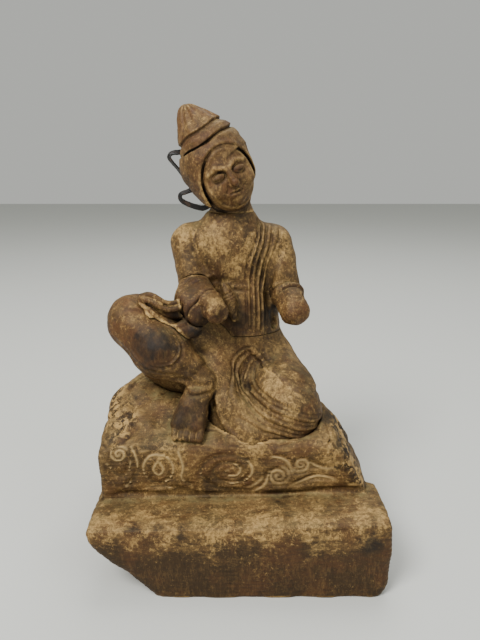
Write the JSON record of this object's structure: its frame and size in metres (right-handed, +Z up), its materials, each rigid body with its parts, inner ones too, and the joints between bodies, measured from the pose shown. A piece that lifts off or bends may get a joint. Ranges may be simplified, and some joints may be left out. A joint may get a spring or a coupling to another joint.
{
  "type": "buddha statue",
  "caption": "Seated wooden figure in a hood and pointed hat, one knee raised, forearms broken off, on a rock plinth with a front step.",
  "frame": {"origin": "middle of the footprint, on the surface that the plinth stands on", "axes": "+Z up, the figure faces -Y, +X to the viewer's right"},
  "size_m": [0.1054, 0.09, 0.1666],
  "materials": {
    "plinth_wood": "hand-carved, dark with age, worn to ochre on the edges, dusty in the hollows",
    "figure_wood": "hand-carved, satin from handling, grime in the cuts",
    "head_wood": "hand-carved, reddish brown, satin from handling",
    "drape_wood": "hand-carved, dark grime with worn ridges",
    "peg_wood": "plain turned dowel",
    "ribbon_metal": "blackened strip, dull"
  },
  "bodies": {
    "root": {"plinth": "plinth_wood", "lap": "figure_wood", "torso": "figure_wood", "head": "head_wood", "right_forearm": "drape_wood", "left_forearm": "figure_wood", "sash": "drape_wood", "ribbon_upper": "ribbon_metal", "ribbon_lower": "ribbon_metal", "plinth_dowels": "peg_wood", "waist_dowels": "peg_wood", "neck_dowel": "peg_wood", "right_elbow_peg": "peg_wood", "left_elbow_peg": "peg_wood", "ribbon_nails": "ribbon_metal"}
  },
  "joints": []
}
